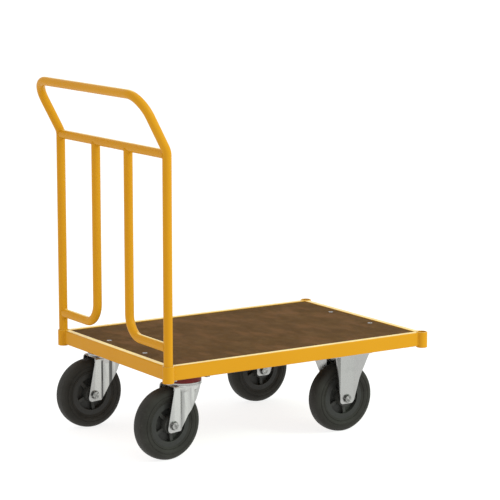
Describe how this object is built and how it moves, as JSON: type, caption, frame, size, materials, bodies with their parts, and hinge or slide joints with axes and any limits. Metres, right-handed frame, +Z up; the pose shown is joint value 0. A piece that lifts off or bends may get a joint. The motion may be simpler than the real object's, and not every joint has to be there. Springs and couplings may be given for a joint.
{
  "type": "platform trolley",
  "caption": "Welded tube platform trolley with a flush board, a plug-in push handle, swivel castors under the handle end and fixed castors towards the front.",
  "frame": {"origin": "on the floor, under the middle of the whole trolley's length and width", "axes": "+X forwards, away from the handle; +Y to the left; +Z up"},
  "size_m": [0.9583, 0.622, 1.0156],
  "materials": {
    "yellow_paint": "smooth powder coat, satin gloss",
    "board_film": "brown phenolic film on plywood, matt",
    "zinc_plate": "bright zinc plate",
    "bright_steel": "ground steel, lightly oiled",
    "red_plastic": "moulded, satin",
    "tyre_rubber": "solid rubber, matt",
    "rim_plastic": "moulded, matt"
  },
  "bodies": {
    "chassis": {"side_rail_left": "yellow_paint", "side_rail_right": "yellow_paint", "end_rail_front": "yellow_paint", "end_rail_rear": "yellow_paint", "corner_socket_front_left": "yellow_paint", "corner_socket_front_right": "yellow_paint", "corner_socket_rear_left": "yellow_paint", "corner_socket_rear_right": "yellow_paint", "castor_bearer_front": "yellow_paint", "castor_bearer_rear": "yellow_paint", "board_tabs": "yellow_paint", "board": "board_film", "board_screws": "zinc_plate", "castor_bolts": "zinc_plate", "castor_nuts": "zinc_plate", "top_plate_rear_left": "zinc_plate", "top_plate_rear_right": "zinc_plate", "kingpin_rear_left": "bright_steel", "kingpin_rear_right": "bright_steel", "fork_front_left": "zinc_plate", "fork_front_right": "zinc_plate", "axle_bolt_front_left": "zinc_plate", "axle_bolt_front_right": "zinc_plate", "axle_nut_front_left": "zinc_plate", "axle_nut_front_right": "zinc_plate", "axle_sleeve_front_left": "bright_steel", "axle_sleeve_front_right": "bright_steel"},
    "handle": {"handle_hoop": "yellow_paint", "handle_cross_tube": "yellow_paint", "handle_inner_tube_left": "yellow_paint", "handle_inner_tube_right": "yellow_paint"},
    "castor_rear_left": {"swivel_race_rear_left": "zinc_plate", "swivel_balls_rear_left": "bright_steel", "dust_seal_rear_left": "red_plastic", "fork_rear_left": "zinc_plate", "axle_bolt_rear_left": "zinc_plate", "axle_nut_rear_left": "zinc_plate", "axle_sleeve_rear_left": "bright_steel"},
    "castor_rear_right": {"swivel_race_rear_right": "zinc_plate", "swivel_balls_rear_right": "bright_steel", "dust_seal_rear_right": "red_plastic", "fork_rear_right": "zinc_plate", "axle_bolt_rear_right": "zinc_plate", "axle_nut_rear_right": "zinc_plate", "axle_sleeve_rear_right": "bright_steel"},
    "wheel_rear_left": {"roller_bearing_rear_left": "bright_steel", "rim_rear_left": "rim_plastic", "tyre_rear_left": "tyre_rubber"},
    "wheel_rear_right": {"roller_bearing_rear_right": "bright_steel", "rim_rear_right": "rim_plastic", "tyre_rear_right": "tyre_rubber"},
    "wheel_front_left": {"roller_bearing_front_left": "bright_steel", "rim_front_left": "rim_plastic", "tyre_front_left": "tyre_rubber"},
    "wheel_front_right": {"roller_bearing_front_right": "bright_steel", "rim_front_right": "rim_plastic", "tyre_front_right": "tyre_rubber"}
  },
  "joints": [
    {"name": "handle_lift", "type": "slide", "parent": "chassis", "child": "handle", "axis": [0, 0, 1], "range_m": [0, 0.045]},
    {"name": "swivel_rear_left", "type": "hinge", "parent": "chassis", "child": "castor_rear_left", "pos_m": [-0.29385, 0.216, 0.218], "axis": [0, 0, 1], "continuous": true},
    {"name": "swivel_rear_right", "type": "hinge", "parent": "chassis", "child": "castor_rear_right", "pos_m": [-0.29385, -0.216, 0.218], "axis": [0, 0, 1], "continuous": true},
    {"name": "roll_rear_left", "type": "hinge", "parent": "castor_rear_left", "child": "wheel_rear_left", "pos_m": [-0.34885, 0.216, 0.1], "axis": [0, 1, 0], "continuous": true},
    {"name": "roll_rear_right", "type": "hinge", "parent": "castor_rear_right", "child": "wheel_rear_right", "pos_m": [-0.34869, -0.22012, 0.1], "axis": [-0.075, 0.9972, 0], "continuous": true},
    {"name": "roll_front_left", "type": "hinge", "parent": "chassis", "child": "wheel_front_left", "pos_m": [0.23115, 0.216, 0.1], "axis": [0, 1, 0], "continuous": true},
    {"name": "roll_front_right", "type": "hinge", "parent": "chassis", "child": "wheel_front_right", "pos_m": [0.23115, -0.216, 0.1], "axis": [0, 1, 0], "continuous": true}
  ]
}
